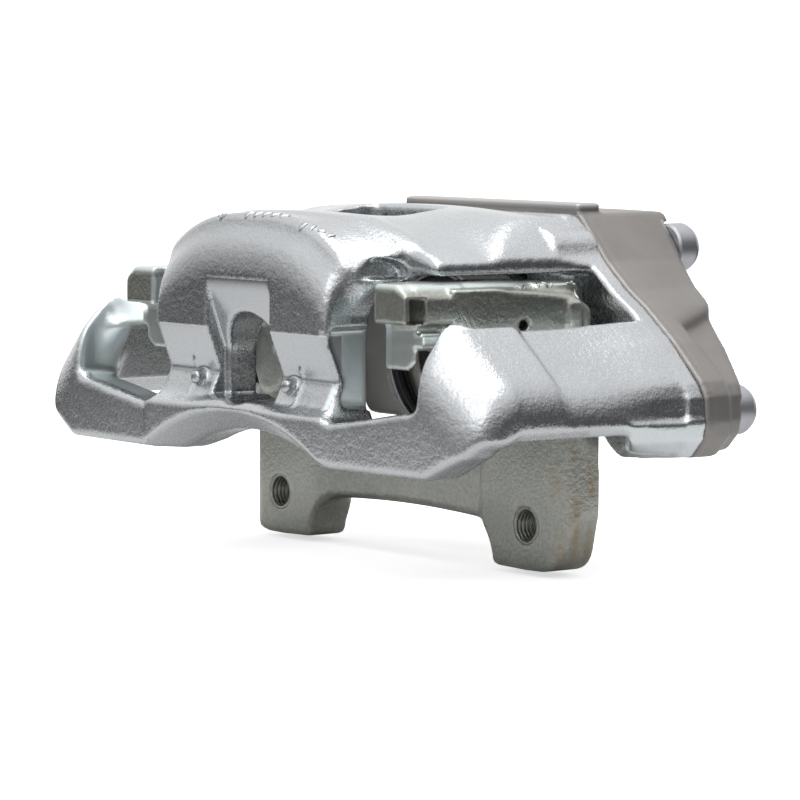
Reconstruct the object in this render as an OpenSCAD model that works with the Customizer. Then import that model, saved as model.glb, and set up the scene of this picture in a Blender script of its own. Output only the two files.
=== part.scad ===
// Floating frame-type brake caliper with one large piston, in millimetres.
// X runs along the disc's rim, Y is the disc's axis with the wheel on the -Y side, Z is radially out.
// The origin lies midway between the two knuckle holes, on the face that meets the knuckle.

/* [Knuckle mount] */
// Half the distance between the two knuckle holes
hole_half_gap = 84.7; // [83:0.1:86]
// Minor radius of the M14 thread in each knuckle hole
knuckle_thread_r = 6.2; // [6:0.1:6.6]
// Thickness of the two mounting lugs
lug_t = 21; // [20:0.5:22]

/* [Disc] */
// Radius of the brake disc that the caliper straddles
disc_r = 165; // [163:1:166]
// Height of the disc's axis below the knuckle holes
disc_drop = 65; // [64:0.5:66]
// Distance from the knuckle face to the disc's middle plane
disc_mid = 44; // [43:0.5:45]
// Thickness of the disc
disc_t = 36; // [30:1:36]

/* [Frame] */
// Half the frame's length along the rim
frame_half = 152; // [150:0.5:153]
// Front face of the outer beam, measured out from the knuckle face
beam_front = 111; // [110:0.5:113]
// Inner face of the fingers, which the outer pad leans on
finger_back = 82; // [81:0.5:84]
// Plane where frame and cylinder housing meet
joint_y = 17.3; // [16.5:0.1:18]
// Height of the bridge's top
bridge_top = 128; // [127:0.5:129]

/* [Cylinder] */
// Piston radius
piston_r = 30; // [29:0.5:30]
// Height of the piston's axis
piston_z = 66; // [65:0.5:67]
// Length of the piston
piston_len = 50; // [46:1:51]

/* [Guides and bolts] */
// Half the distance between the two guide pins
pin_half_gap = 94; // [93:0.5:95]
// Height of the guide pins
pin_z = 58; // [57:0.5:59]
// Radius of a guide pin's sliding shank
pin_r = 5.5; // [5.3:0.1:5.6]
// Shank radius of the four frame bolts
bolt_r = 5.9; // [5.5:0.1:5.9]

/* [Hidden] */
$fn = 64;
eps = 0.5;
gap = 0.1;

iron = "#b4bcc2";
alloy = "#8a8580";
zinc = "#a8acb0";
rubber = "#1e1e20";

// Clear radii about the disc's axis
rail_bore_r = disc_r + 6;
bridge_bore_r = disc_r + 13;
carrier_bore_r = disc_r + 4;
beam_back = 86;
arch_back_r = 103;

// Frame bolts: two by the bridge and two in the low ears
upper_bolt = [77, 113];
lower_bolt = [138, 49];
upper_seat = 62;
lower_seat = 39;
bolt_head_r = 10.5;
bolt_head_h = 13;

// Cylinder housing
nose_front = 0.6;
nose_half = 52;
nose_corner_r = 39;
nose_top = 104;
nose_foot = 38;
barrel_r = 40;
barrel_end = 68;
bore_bottom = 58;
boot_seat_r = 35;
boot_seat_end = 7;
seal_groove = [11, 15.5];
piston_front = 6;
housing_foot = 47;
port_seat = 76;
port_depth = 14;
port_r = 4.46;
bleed_z = 114;
bleed_seat = 66;
pin_end = 50;

// Carrier
arm_in = 78;
arm_out = 100;
arm_top = 102.5;
arm_front = -95;
arm_end = 2;
lug_pad_top = 25;
pad_relief = 1.2;
abutment_in = 70;
abutment_out = 95;
abutment_foot = 64;
pad_ear_z = [75, 87];
pad_ear_depth = 8;

// Outline in X and Z of the joint between frame and housing, one half
joint_half = [
    [72, bridge_top], [90, 108.6], [115, 90.4], [132.8, 76.7], [148, 61.6], [frame_half - 0.7, 56],
    [frame_half, 46], [150.5, 39.2], [144, 32.2], [110.5, 29.2], [101.5, 36.3], [84, 42], [68, housing_foot]
];

function flip(points) = [for (i = [len(points) - 1:-1:0]) [-points[i][0], points[i][1]]];

module both_sides() {
    children();
    mirror([1, 0, 0]) children();
}

// Extrudes an outline drawn in X and Z from y0 to y1
module along_y(y0, y1) {
    translate([0, y1, 0]) rotate([90, 0, 0]) linear_extrude(y1 - y0) children();
}

// Extrudes an outline drawn in Y and Z from x0 to x1
module along_x(x0, x1) {
    translate([x0, 0, 0]) rotate([90, 0, 90]) linear_extrude(x1 - x0) children();
}

// A rod along Y about the point at x, z
module rod(x, z, y0, y1, r) {
    along_y(y0, y1) translate([x, z]) circle(r);
}

// A cylinder about the disc's axis
module disc_zone(y0, y1, r) {
    along_y(y0, y1) translate([0, -disc_drop]) circle(r, $fn = 180);
}

module joint_outline() {
    polygon(concat(joint_half, flip(joint_half)));
}

// Outline of the housing's nose, round below and square above, grown by the value given
module nose_outline(grow) {
    translate([0, piston_z]) circle(nose_corner_r + grow);
    for (side = [-1, 1]) translate([side * (nose_half - 16), nose_top - 16]) circle(16 + grow);
    translate([-nose_half - grow, nose_foot]) square([2 * (nose_half + grow), nose_top - 16 - nose_foot]);
    translate([16 - nose_half, piston_z]) square([2 * (nose_half - 16), nose_top - piston_z + grow]);
}

// ---- Frame ----

// Front outline of one half of the outer beam
beam_half = [
    [0, 51], [14, 51], [40, 46.6], [70, 46.6], [88, 50], [105, 52], [113, 58], [117, 65], [112, 80],
    [118, 84], [frame_half - 4, 60], [frame_half, 53], [frame_half, 46], [143, 36.6], [124, 27], [0, 27]
];

// Plan of the frame, which sweeps back a little towards its ends
frame_plan = [
    [-frame_half, -102], [-148, -104.5], [-124, 2.5 - beam_front], [-60, -beam_front], [60, -beam_front],
    [124, 2.5 - beam_front], [148, -104.5], [frame_half, -102], [frame_half, joint_y], [-frame_half, joint_y]
];

// Section of the right side rail, hollowed to clear the disc
module rail_section() {
    difference() {
        polygon([
            [128, 45], [frame_half, 45], [frame_half, 55], [frame_half - 6, 61], [118, 84], [108, 84], [104, 79],
            [104, 60]
        ]);
        translate([0, -disc_drop]) circle(rail_bore_r, $fn = 180);
    }
}

module beam() {
    intersection() {
        translate([0, 0, 20]) linear_extrude(80) polygon(frame_plan);
        both_sides() {
            along_y(-beam_front - eps, -beam_back) polygon(beam_half);
            along_y(-beam_front - eps, joint_y) rail_section();
        }
    }
}

// Side view of the fingers, from the bridge down to the beam's ledge
finger_profile = [
    [-finger_back, 106], [-finger_back, 30], [-beam_front, 30], [-beam_front, 46.5], [-106, 51],
    [-99.4, 61], [-107, 80], [-107, 94], [-104, 102], [-100, 106]
];

// A slice of the bridge's crown, flat at the foot and domed on top
module crown(half, top, y) {
    dome_r = 110;
    along_y(y, y + 0.5) intersection() {
        translate([0, top - dome_r]) circle(dome_r, $fn = 96);
        translate([-half, 90]) square([2 * half, top - 90]);
    }
}

module bridge() {
    hull() {
        crown(54, 110, -107);
        crown(58, 118, -104.5);
        crown(60, 124, -99);
        crown(60, bridge_top - 0.5, -90);
        crown(60, bridge_top, -60);
    }
    hull() {
        along_y(-66, -65.5) polygon([
            [85, 106], [85, 111], [70, 121], [38, bridge_top], [-38, bridge_top], [-70, 121], [-85, 111], [-85, 106]
        ]);
        along_y(joint_y - 0.5, joint_y) polygon([
            [85, 106], [85, 113], [72, bridge_top], [-72, bridge_top], [-85, 113], [-85, 106]
        ]);
    }
}

module ears() {
    intersection() {
        along_y(-22, joint_y) joint_outline();
        both_sides() translate([0, 0, 25]) linear_extrude(24)
            polygon([[144, -22], [153, -22], [153, joint_y], [101, joint_y], [101, 7], [113, 7]]);
    }
}

module frame() {
    color(iron) difference() {
        union() {
            beam();
            along_x(-60, 60) polygon(finger_profile);
            bridge();
            ears();
            along_y(7, joint_y) joint_outline();
            both_sides() rod(upper_bolt[0], upper_bolt[1], -6, joint_y, 8.5);
            both_sides() rod(31.7, 58.4, -107, -95, 3);
        }
        // The bridge's underside, over the disc and the pads
        intersection() {
            disc_zone(-finger_back, 7, bridge_bore_r);
            translate([-64, -100, 0]) cube([128, 120, 200]);
        }
        // The arch under the beam, with its turned relief at the front
        disc_zone(-beam_front - 1, joint_y, arch_back_r);
        translate([0, -100, -disc_drop]) rotate([90, 0, 0])
            cylinder(h = 12, r1 = arch_back_r, r2 = arch_back_r + 8.7, $fn = 180);
        // The round-topped window between the fingers
        along_y(-beam_front - 1, -finger_back + 1) union() {
            translate([0, 68]) circle(19);
            translate([-19, 51.5]) square([38, 16.5]);
        }
        along_x(-22, 22) polygon([[-112, 102], [-112, 51.5], [-104, 51.5], [-96, 60], [-94, 86], [-107.2, 101]]);
        // The inspection window in the bridge
        translate([0, 0, 100]) linear_extrude(40) hull() for (x = [-17, 17], y = [-42, -26])
            translate([x, y]) circle(8, $fn = 32);
        // Openings for the cylinders and the guide pins
        along_y(-13, joint_y + 1) nose_outline(1);
        along_y(6, joint_y + 1) translate([-nose_half - 1, 20]) square([2 * (nose_half + 1), 40]);
        both_sides() rod(pin_half_gap, pin_z, 0, joint_y + 1, 11);
        // Threads of the frame bolts
        both_sides() rod(upper_bolt[0], upper_bolt[1], -2, joint_y + 1, bolt_r + gap);
        both_sides() rod(lower_bolt[0], lower_bolt[1], -14, joint_y + 1, bolt_r + gap);
    }
}

// ---- Cylinder housing ----

// Side view of the housing, thicker towards its top
housing_profile = [
    [joint_y, 25], [38, 25], [38, 53], [39, 61], [42, 71], [46, 80], [53, 91], [58, 100], [62, 110],
    [66.5, bridge_top + 2], [joint_y, bridge_top + 2]
];

module cylinder_housing() {
    color(alloy) difference() {
        union() {
            intersection() {
                along_y(joint_y, 70) joint_outline();
                along_x(-frame_half - 1, frame_half + 1) polygon(housing_profile);
            }
            // Machined pad along the top
            translate([-74, joint_y, bridge_top - 1]) cube([148, 13, 6]);
            along_y(nose_front, joint_y + 1) nose_outline(0);
            // Barrel round the piston, with bosses for the hose port and the bleeder
            rod(0, piston_z, joint_y, barrel_end, barrel_r);
            rod(0, piston_z, 60, port_seat, 10);
            rod(0, bleed_z, 40, bleed_seat, 10);
            both_sides() rod(pin_half_gap, pin_z, joint_y, lower_seat, 12);
        }
        rod(0, piston_z, nose_front - 1, bore_bottom, piston_r + 0.05);
        rod(0, piston_z, seal_groove[0], seal_groove[1], piston_r + 3);
        rod(0, piston_z, nose_front - 1, boot_seat_end, boot_seat_r);
        both_sides() {
            rod(pin_half_gap, pin_z, joint_y - 1, 80, 9);
            rod(upper_bolt[0], upper_bolt[1], joint_y - 1, 80, bolt_r + 0.4);
            rod(upper_bolt[0], upper_bolt[1], upper_seat, 90, bolt_head_r + 1);
            rod(lower_bolt[0], lower_bolt[1], joint_y - 1, 80, bolt_r + 0.4);
            rod(lower_bolt[0], lower_bolt[1], lower_seat, 90, bolt_head_r + 1);
            rod(pin_half_gap, pin_z, lower_seat, 90, 12);
        }
        // Hose port and bleed passages
        rod(0, piston_z, bore_bottom - 1, port_seat + 1, 2);
        rod(0, piston_z, port_seat - port_depth, port_seat + 1, port_r);
        translate([0, 48, piston_z]) cylinder(h = bleed_z - piston_z, r = 2);
        rod(0, bleed_z, 46, bleed_seat - 15, 2);
        rod(0, bleed_z, bleed_seat - 15, bleed_seat + 1, 4.6);
    }
}

// Pillar bolt seated at y, with its shank towards the frame and a hexagon socket in its head
module frame_bolt(x, z, seat, tip) {
    color(zinc) translate([x, seat, z]) rotate([-90, 0, 0]) difference() {
        union() {
            translate([0, 0, tip - seat]) cylinder(h = seat - tip + 1, r = bolt_r);
            rotate_extrude() polygon([
                [0, 0], [bolt_head_r, 0], [bolt_head_r, 8], [bolt_head_r - 0.7, 10.6], [bolt_head_r - 2.6, 12.4],
                [bolt_head_r - 4.5, bolt_head_h], [0, bolt_head_h]
            ]);
        }
        translate([0, 0, 6]) cylinder(h = 10, r = 5, $fn = 6);
    }
}

// ---- Carrier ----

// Outline in X and Z of one lug with its upright
module lug_outline() {
    hull() {
        translate([76, -4]) circle(14, $fn = 48);
        translate([95, -6]) circle(12, $fn = 48);
        translate([103, 14]) circle(6, $fn = 32);
        translate([68, 30]) square([40, 14]);
    }
    polygon([[70, 30], [108, 30], [108, 46], [104, 52], [104, 64], [arm_out, 74], [arm_out, arm_top - 1],
        [abutment_in + 2, arm_top - 1], [abutment_in, 96]]);
}

// Seat for a pad's end, hooked round the pad's ear
module abutment_outline() {
    polygon([
        [abutment_in, abutment_foot], [abutment_out - 6, abutment_foot], [abutment_out, abutment_foot + 8],
        [abutment_out, arm_top - 2], [abutment_in + 3, arm_top - 2], [abutment_in, 98]
    ]);
}

module carrier_half() {
    along_y(-lug_t, -pad_relief) lug_outline();
    // Machined pad that meets the knuckle
    along_y(-lug_t, 0) intersection() {
        lug_outline();
        translate([0, -30]) square([200, 30 + lug_pad_top]);
    }
    rod(pin_half_gap, pin_z, -lug_t, -pad_relief, 11);
    along_y(-disc_mid + disc_t / 2 + 2, -2) abutment_outline();
    along_y(arm_front, -disc_mid - disc_t / 2 - 2) abutment_outline();
    // The arm over the disc, sunk at both ends of its top
    intersection() {
        along_x(arm_in, arm_out) polygon([
            [arm_front, 78], [arm_front, 98], [-86, 100.5], [-40, arm_top], [-10, 101], [arm_end, 97], [arm_end, 78]
        ]);
        along_y(arm_front, arm_end) polygon([
            [arm_in, 78], [arm_in, arm_top - 3], [arm_in + 4, arm_top], [93, arm_top], [arm_out, 97], [arm_out, 80],
            [96, 72], [84, 72]
        ]);
    }
}

module carrier() {
    color(iron) difference() {
        union() {
            both_sides() carrier_half();
            // Tie bar between the lugs, set back from both faces and filleted into them
            along_y(-18, -5) difference() {
                translate([-66, -2]) square([132, 34]);
                translate([0, -64]) circle(70, $fn = 120);
                translate([0, 106]) circle(78, $fn = 120);
            }
        }
        disc_zone(-disc_mid - disc_t / 2 - 2, -disc_mid + disc_t / 2 + 2, carrier_bore_r);
        both_sides() {
            rod(hole_half_gap, 0, -lug_t - 1, 1, knuckle_thread_r);
            translate([hole_half_gap, -lug_t - 0.01, 0]) rotate([-90, 0, 0]) cylinder(h = 1.4, r1 = 7.6, r2 = 6.2);
            rod(pin_half_gap, pin_z, 2 - lug_t, 1, 5);
            // Slots for the ears of the pads
            for (span = [[arm_front - 1, -disc_mid - disc_t / 2], [-disc_mid + disc_t / 2, -8]])
                along_y(span[0], span[1]) translate([abutment_in - 1, pad_ear_z[0]])
                    square([pad_ear_depth + 1, pad_ear_z[1] - pad_ear_z[0]]);
        }
    }
}

// Guide pin, threaded into the carrier and smooth where the housing slides
module guide_pin(side) {
    color(zinc) translate([side * pin_half_gap, 0, pin_z]) rotate([-90, 0, 0]) difference() {
        union() {
            translate([0, 0, 2 - lug_t]) cylinder(h = lug_t, r = 4.9);
            translate([0, 0, -pad_relief]) cylinder(h = pin_end + pad_relief, r = pin_r);
            translate([0, 0, -pad_relief]) cylinder(h = 3.5, r = 8);
        }
        translate([0, 0, pin_end - 8]) cylinder(h = 9, r = 3.6, $fn = 6);
    }
}

module guide_bushing(side) {
    color(rubber) difference() {
        union() {
            rod(side * pin_half_gap, pin_z, joint_y - 3, lower_seat - 1, 8.9);
            rod(side * pin_half_gap, pin_z, joint_y - 5, joint_y - 0.1, 10.5);
        }
        rod(side * pin_half_gap, pin_z, 0, 60, pin_r + 0.3);
    }
}

module guide_cap(side) {
    color(rubber) difference() {
        union() {
            rod(side * pin_half_gap, pin_z, lower_seat + 0.1, 58, 8.6);
            rod(side * pin_half_gap, pin_z, lower_seat + 0.1, lower_seat + 3, 11);
        }
        rod(side * pin_half_gap, pin_z, 30, 56, 7);
    }
}

// ---- Piston and seals ----

// A ring about the piston's axis, turned from a section of radius and depth behind y
module turned(y, section) {
    translate([0, y, piston_z]) rotate([-90, 0, 0]) rotate_extrude($fn = 128) polygon(section);
}

// Cup-shaped piston with a boot groove near its open end
module piston() {
    cup_r = piston_r - 8;
    cup_end = 40;
    color(zinc) turned(piston_front, [
        [0, cup_end], [cup_r - 1.5, cup_end], [cup_r, cup_end - 1.5], [cup_r, 1.5], [cup_r + 1, 0],
        [piston_r - 0.8, 0], [piston_r, 0.8], [piston_r, 4.4], [piston_r - 1.5, 5], [piston_r - 1.5, 8],
        [piston_r, 8.6], [piston_r, piston_len - 1.5], [piston_r - 1.5, piston_len], [0, piston_len]
    ]);
}

module piston_seal() {
    color(rubber) turned(seal_groove[0] + gap, [
        [piston_r + 0.04, 0], [piston_r + 2.9, 0], [piston_r + 2.9, seal_groove[1] - seal_groove[0] - 2 * gap],
        [piston_r + 0.04, seal_groove[1] - seal_groove[0] - 2 * gap]
    ]);
}

// Dust boot, folded in its seat in the cylinder's mouth
module dust_boot() {
    color(rubber) turned(nose_front, [
        [boot_seat_r - 0.1, 6.3], [piston_r + 0.4, 6.3], [piston_r + 0.4, 4.8], [piston_r + 2.6, 4.8],
        [piston_r + 2.6, 3.6], [piston_r + 0.4, 3.2], [piston_r + 0.4, 0.6], [piston_r + 1.6, 0.2],
        [piston_r + 3, 1.6], [piston_r + 3.6, 2], [boot_seat_r - 0.1, 2]
    ]);
}

// Steel ring that holds the boot in its seat
module boot_ring() {
    color(zinc) turned(nose_front, [
        [boot_seat_r - 1.1, 0.3], [boot_seat_r - 0.05, 0.3], [boot_seat_r - 0.05, 1.9], [boot_seat_r - 1.1, 1.9]
    ]);
}

// ---- Bleeder ----

module bleed_screw() {
    color(zinc) translate([0, bleed_seat, bleed_z]) rotate([-90, 0, 0]) difference() {
        union() {
            translate([0, 0, -12]) cylinder(h = 13, r = 4.5);
            translate([0, 0, 0.6]) cylinder(h = 6, r = 6.3, $fn = 6);
            cylinder(h = 9, r = 3.6);
            translate([0, 0, 9]) cylinder(h = 6, r = 2.9);
            translate([0, 0, 11]) cylinder(h = 2, r = 3.6);
        }
        translate([0, 0, -8]) cylinder(h = 30, r = 1.2);
    }
}

module bleed_cap() {
    color(rubber) translate([0, bleed_seat, bleed_z]) rotate([-90, 0, 0]) difference() {
        union() {
            translate([0, 0, 7]) cylinder(h = 10.5, r = 5.2);
            translate([0, 0, 17]) cylinder(h = 2.5, r = 3);
        }
        translate([0, 0, 6]) cylinder(h = 10, r = 3.9);
    }
}

carrier();
guide_pin(-1);  // guide_pin_left
guide_pin(1);  // guide_pin_right
frame();
cylinder_housing();
frame_bolt(-upper_bolt[0], upper_bolt[1], upper_seat, 0);  // frame_bolt_upper_left
frame_bolt(upper_bolt[0], upper_bolt[1], upper_seat, 0);  // frame_bolt_upper_right
frame_bolt(-lower_bolt[0], lower_bolt[1], lower_seat, -12);  // frame_bolt_lower_left
frame_bolt(lower_bolt[0], lower_bolt[1], lower_seat, -12);  // frame_bolt_lower_right
guide_bushing(-1);  // guide_bushing_left
guide_bushing(1);  // guide_bushing_right
guide_cap(-1);  // guide_cap_left
guide_cap(1);  // guide_cap_right
piston();
piston_seal();
dust_boot();
boot_ring();
bleed_screw();
bleed_cap();
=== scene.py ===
"""Looks of the brake caliper: castings modelled as distance fields, turned parts, materials, light and camera.

Fields are worked out in millimetres, in the frame of the CAD: X along the rim, Y the disc's axis, Z radially out.
"""
import math

import bmesh
import bpy
import numpy as np
import openvdb
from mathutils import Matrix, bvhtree


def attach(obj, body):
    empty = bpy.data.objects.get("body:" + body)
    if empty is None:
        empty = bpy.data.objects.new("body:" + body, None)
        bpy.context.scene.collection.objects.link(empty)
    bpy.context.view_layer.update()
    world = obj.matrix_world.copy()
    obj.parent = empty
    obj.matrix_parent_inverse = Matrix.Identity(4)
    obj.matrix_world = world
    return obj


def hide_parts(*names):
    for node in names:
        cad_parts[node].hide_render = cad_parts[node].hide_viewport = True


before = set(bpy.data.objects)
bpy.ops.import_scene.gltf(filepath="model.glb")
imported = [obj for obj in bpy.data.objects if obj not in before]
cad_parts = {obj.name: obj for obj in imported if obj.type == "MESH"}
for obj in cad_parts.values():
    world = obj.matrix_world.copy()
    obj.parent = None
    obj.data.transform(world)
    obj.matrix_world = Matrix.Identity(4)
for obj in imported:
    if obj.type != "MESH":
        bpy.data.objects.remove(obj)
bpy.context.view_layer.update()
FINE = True
F32 = np.float32

# Places in millimetres. Axes along Y are given as (x, z).
RIM_X = 152
JOINT_Y = 17.3
DISC_DROP = 65
ARCH_R = 103
LUG_T = 21
KNUCKLE_X = 84.7
UPPER_BOLT, UPPER_SEAT = (77, 113), 62
LOWER_BOLT, LOWER_SEAT = (138, 49), 39
PIN = (94, 58)
CYLINDER = (0, 66)
BLEED = (0, 114)
CELL = 1.2 if FINE else 2.0

# The direction square to the slanted outer face of rail and corner, as (x, z)
SLANT = (0.649, 0.761)


# ---- Distance fields ----

class Grid:
    """Half a box of sample points with X >= 0; the field is mirrored into the other half."""

    def __init__(self, size_x, y_span, z_span, cell):
        self.cell = cell
        margin = 3
        self.y0 = y_span[0] - margin * cell
        self.z0 = z_span[0] - margin * cell
        count = [int(math.ceil(s / cell)) for s in
                 (size_x + margin * cell, y_span[1] - self.y0 + margin * cell, z_span[1] - self.z0 + margin * cell)]
        self.X = (cell * np.arange(count[0], dtype=F32))[:, None, None]
        self.Y = (self.y0 + cell * np.arange(count[1], dtype=F32))[None, :, None]
        self.Z = (self.z0 + cell * np.arange(count[2], dtype=F32))[None, None, :]


def union(a, b, k=0.0):
    """Union of two fields, with a fillet about k / 2 wide."""
    if k <= 0:
        return np.minimum(a, b)
    h = np.maximum(k - np.abs(a - b), 0) / k
    return np.minimum(a, b) - h * h * (k / 4)


def meet(a, b, k=0.0):
    """Intersection of two fields, with a rounded edge."""
    return -union(-a, -b, k)


def round_off(a, b, r):
    """An intersection whose edge is a true arc of radius r."""
    arc = np.sqrt(np.maximum(a + r, 0) ** 2 + np.maximum(b + r, 0) ** 2) - r
    return np.where((a > -r) & (b > -r), arc, np.maximum(a, b))


def cut(a, b, k=0.0):
    return meet(a, -b, k)


def polygon(u, v, points):
    """Signed distance from the points u, v to a closed outline."""
    shape = np.broadcast(u, v).shape
    best = np.full(shape, 1e9, F32)
    inside = np.zeros(shape, bool)
    for (ax, ay), (bx, by) in zip(points, points[1:] + points[:1]):
        ex, ey = bx - ax, by - ay
        t = np.clip(((u - ax) * ex + (v - ay) * ey) / (ex * ex + ey * ey + 1e-9), 0, 1)
        best = np.minimum(best, (u - ax - ex * t) ** 2 + (v - ay - ey * t) ** 2)
        if ay != by:
            inside ^= ((ay > v) != (by > v)) & (u < ex * (v - ay) / ey + ax)
    return np.where(inside, -1, 1).astype(F32) * np.sqrt(best)


def rounded(points, radius, steps=5):
    """An outline with each corner replaced by an arc; a point's third value is its own radius."""
    out = []
    for i, point in enumerate(points):
        r = point[2] if len(point) > 2 else radius
        p = np.array(point[:2], float)
        a = np.array(points[i - 1][:2], float) - p
        b = np.array(points[(i + 1) % len(points)][:2], float) - p
        la, lb = np.hypot(*a), np.hypot(*b)
        a, b = a / la, b / lb
        half = math.acos(max(-1.0, min(1.0, float(a @ b)))) / 2
        reach = min(r / math.tan(max(half, 1e-3)), 0.48 * la, 0.48 * lb)
        if r <= 0 or half > 1.5:
            out.append((float(p[0]), float(p[1])))
            continue
        for s in range(steps + 1):
            t = s / steps
            q = p + a * reach * (1 - t) ** 2 + b * reach * t ** 2
            out.append((float(q[0]), float(q[1])))
    return out


def span(v, low, high):
    """Distance to the slab between two planes."""
    return np.maximum(low - v, v - high)


def rod(g, x, z, r):
    return np.sqrt((g.X - x) ** 2 + (g.Z - z) ** 2) - r


def box(g, low, high, r=0.0):
    """A box with edges of radius r."""
    q = [np.abs(v - (a + b) / 2) - (b - a) / 2 + r for v, a, b in zip((g.X, g.Y, g.Z), low, high)]
    out = np.sqrt(sum(np.maximum(c, 0) ** 2 for c in q))
    return out + np.minimum(np.maximum(np.maximum(q[0], q[1]), q[2]), 0) - r


def profile(v, table, soft=0.0):
    """A curve through the points of a table, its corners eased over the width given."""
    xs, ys = zip(*table)
    return sum(np.interp(v + soft * d, xs, ys) for d in (-1, -0.5, 0, 0.5, 1)).astype(F32) / 5


# ---- Meshes ----

def make_mesh(name, points, faces, body, replaces=(), masks=None):
    """A smooth-shaded object from arrays of points in millimetres and of faces."""
    faces = np.asarray(faces, np.int32)
    mesh = bpy.data.meshes.new(name)
    mesh.vertices.add(len(points))
    mesh.vertices.foreach_set("co", (np.asarray(points, F32) / 1000).ravel())
    mesh.loops.add(faces.size)
    mesh.loops.foreach_set("vertex_index", faces.ravel())
    mesh.polygons.add(len(faces))
    mesh.polygons.foreach_set("loop_start", np.arange(0, faces.size, faces.shape[1], dtype=np.int32))
    mesh.update(calc_edges=True)
    mesh.polygons.foreach_set("use_smooth", np.ones(len(faces), bool))
    for key, values in (masks or {}).items():
        layer = mesh.attributes.new(key, "FLOAT", "POINT")
        layer.data.foreach_set("value", np.asarray(values, F32))
    obj = bpy.data.objects.new(name, mesh)
    bpy.context.scene.collection.objects.link(obj)
    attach(obj, body)
    if replaces:
        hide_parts(*replaces)
    return obj


def cast(name, g, field, body, node, masks, extra=None):
    """Meshes a half field with its mirror image, joined by what extra gives on the whole."""
    field = np.broadcast_to(field, (g.X.size, g.Y.size, g.Z.size)).astype(F32)
    full = np.concatenate([field[:0:-1], field])
    if extra:
        g.X = np.concatenate([-g.X[:0:-1], g.X])
        full = extra(g, full)
        g.X = g.X[g.X.size // 2:]
    # Distances in cells, kept inside the background value of the grid
    full = full / g.cell
    grid = openvdb.FloatGrid(4.0)
    grid.copyFromArray(np.clip(full, -3.9, 3.9))
    points, quads = grid.convertToQuads(0.0)
    points = points * g.cell + np.array([-g.cell * (g.X.size - 1), g.y0, g.z0])
    return make_mesh(name, points, quads, body, (node,),
                     {key: mask(*points.T) for key, mask in masks.items()})


def step(v, low, high):
    """0 below low, 1 above high, eased between."""
    t = np.clip((v - low) / (high - low), 0, 1)
    return t * t * (3 - 2 * t)


# ---- Frame ----

JOINT = [(72, 128), (90, 108.6), (104, 97.3), (115, 90.4), (132.8, 76.7), (148, 61.6), (151.3, 56), (152, 46),
         (150.5, 39.2), (144, 32.2), (110.5, 29.2), (101.5, 36.3), (84, 42), (68, 47)]


def joint_outline(g):
    """The outline of the joint between frame and cylinder housing."""
    half = rounded([(-20, 47)] + JOINT[::-1] + [(-20, 128)], 3)
    return polygon(g.X, g.Z, half)


def nose_outline(g, grow):
    """The outline of the housing's nose, which reaches into the frame."""
    corner = polygon(g.X, g.Z, rounded([(-20, 37), (52, 37, 8), (52, 104, 16), (-20, 104)], 0, 8))
    return union(rod(g, *CYLINDER, 39), corner) - grow


def rail_top(x, z):
    """Distance above the rail's top edge, which is square to its outer face."""
    return (x - 118) * -SLANT[1] + (z - 85) * SLANT[0]


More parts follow.
